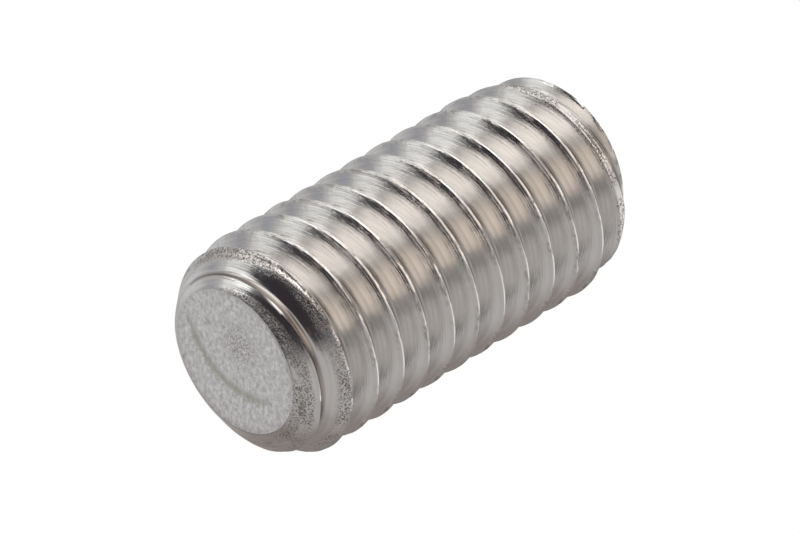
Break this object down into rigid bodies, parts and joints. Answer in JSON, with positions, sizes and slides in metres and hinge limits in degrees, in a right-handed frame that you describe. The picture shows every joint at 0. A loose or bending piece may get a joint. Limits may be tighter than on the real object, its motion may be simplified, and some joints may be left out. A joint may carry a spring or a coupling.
{
  "type": "grub set screw",
  "caption": "Headless stainless set screw with a rolled right-hand thread, flat point and hexagon socket, for locking a collar or hub onto a shaft.",
  "frame": {"origin": "centre of the socket end's rim plane, the end it stands on", "axes": "+Z along the screw's axis, from the socket end up to the flat point; +X and +Y square to it, with the thread's start set from +X"},
  "size_m": [0.0078, 0.0078, 0.016],
  "materials": {
    "stainless_steel": "satin rolled thread with a plain turned point"
  },
  "bodies": {
    "root": {"set_screw": "stainless_steel"}
  },
  "joints": []
}
